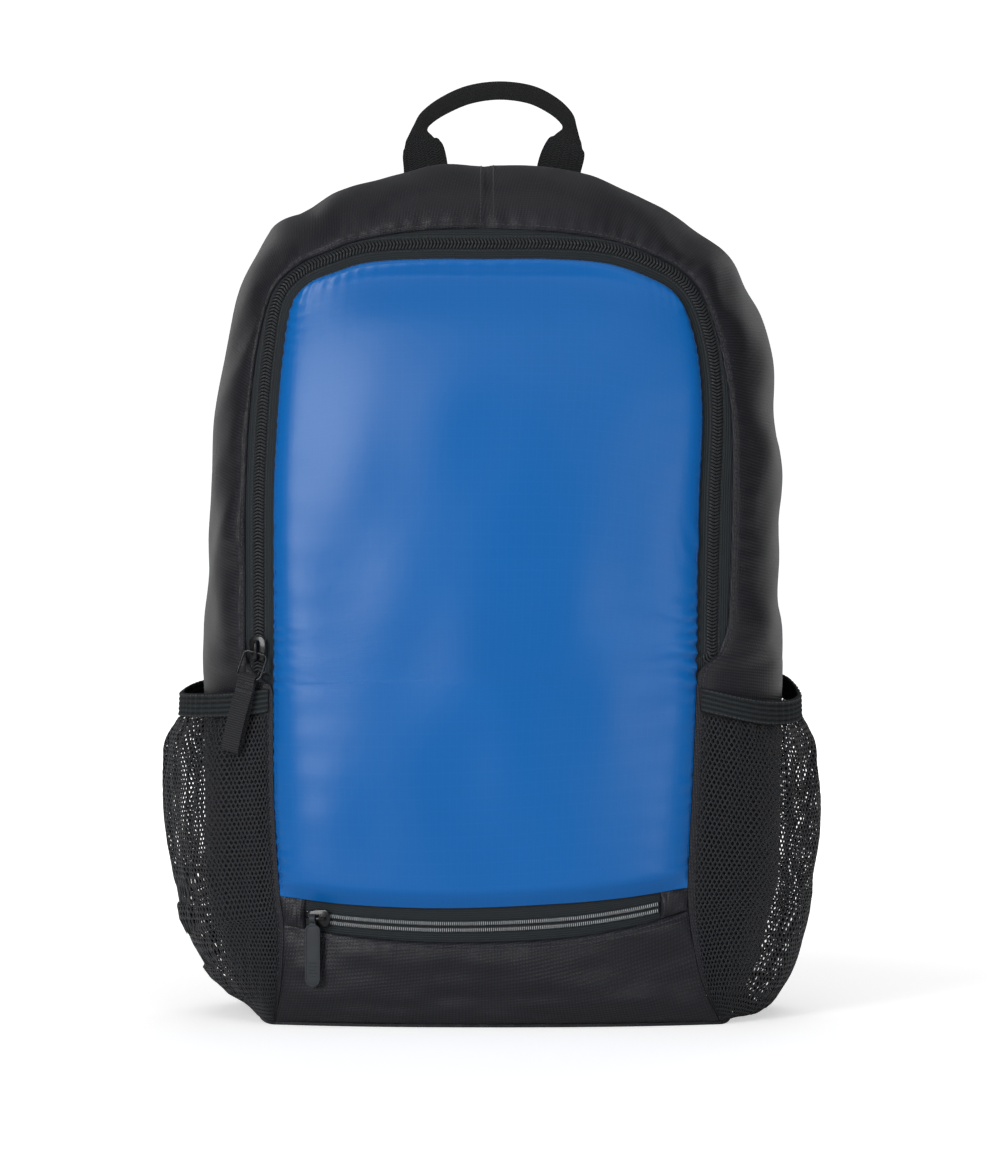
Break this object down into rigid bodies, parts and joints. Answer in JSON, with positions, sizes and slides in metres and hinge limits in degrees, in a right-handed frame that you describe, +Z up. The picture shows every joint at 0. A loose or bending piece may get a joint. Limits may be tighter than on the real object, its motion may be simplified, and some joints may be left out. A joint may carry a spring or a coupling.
{
  "type": "packable backpack",
  "caption": "Light daypack with a filled rounded body, a long curved zip, a zipped front pocket, two mesh side pockets, a grab handle and padded shoulder straps.",
  "frame": {"origin": "centre of the underside of the base, on the surface that the bag stands on", "axes": "+Z up, -Y out of the front panel, +X to the right of somebody who looks at the front"},
  "size_m": [0.3439, 0.1954, 0.4874],
  "materials": {
    "black_twill": "fine diagonal dobby nylon, semi-matt",
    "blue_nylon": "thin satin nylon with a slight sheen",
    "zip_tape": "woven polyester tape, matt",
    "zip_teeth": "nylon coil with a slight gloss",
    "zip_teeth_grey": "reversed coil whose two rows of stitches are light grey",
    "mesh": "open knitted polyester mesh with six-sided holes",
    "elastic": "ribbed woven elastic, matt",
    "webbing": "ribbed polypropylene webbing",
    "slider_metal": "gloss black enamel",
    "pull_rubber": "moulded dark grey, satin",
    "plastic": "moulded acetal, fine grain"
  },
  "bodies": {
    "bag": {"base_panel": "black_twill", "back_panel": "black_twill", "front_panel": "blue_nylon", "front_pocket": "black_twill", "main_zip_tape": "zip_tape", "main_zip_teeth": "zip_teeth", "pocket_zip_tape": "zip_tape", "pocket_zip_teeth": "zip_teeth_grey", "grab_handle": "webbing", "main_zip_slider": "slider_metal", "main_pull_ring": "slider_metal", "main_pull_loop": "webbing", "pocket_zip_slider": "slider_metal", "side_band_left": "black_twill", "zip_end_tab_left": "black_twill", "mesh_pocket_left": "mesh", "pocket_elastic_left": "elastic", "shoulder_strap_left": "black_twill", "strap_loop_left": "webbing", "ladder_lock_left": "plastic", "strap_webbing_left": "webbing", "strap_anchor_left": "black_twill", "side_band_right": "black_twill", "zip_end_tab_right": "black_twill", "mesh_pocket_right": "mesh", "pocket_elastic_right": "elastic", "shoulder_strap_right": "black_twill", "strap_loop_right": "webbing", "ladder_lock_right": "plastic", "strap_webbing_right": "webbing", "strap_anchor_right": "black_twill"},
    "pull": {"pocket_pull": "pull_rubber"}
  },
  "joints": [
    {"name": "pocket_pull_swing", "type": "hinge", "parent": "bag", "child": "pull", "pos_m": [-0.09261, -0.08147, 0.05693], "axis": [-0.9782, 0.2076, 0], "range_deg": [0, 150]}
  ]
}
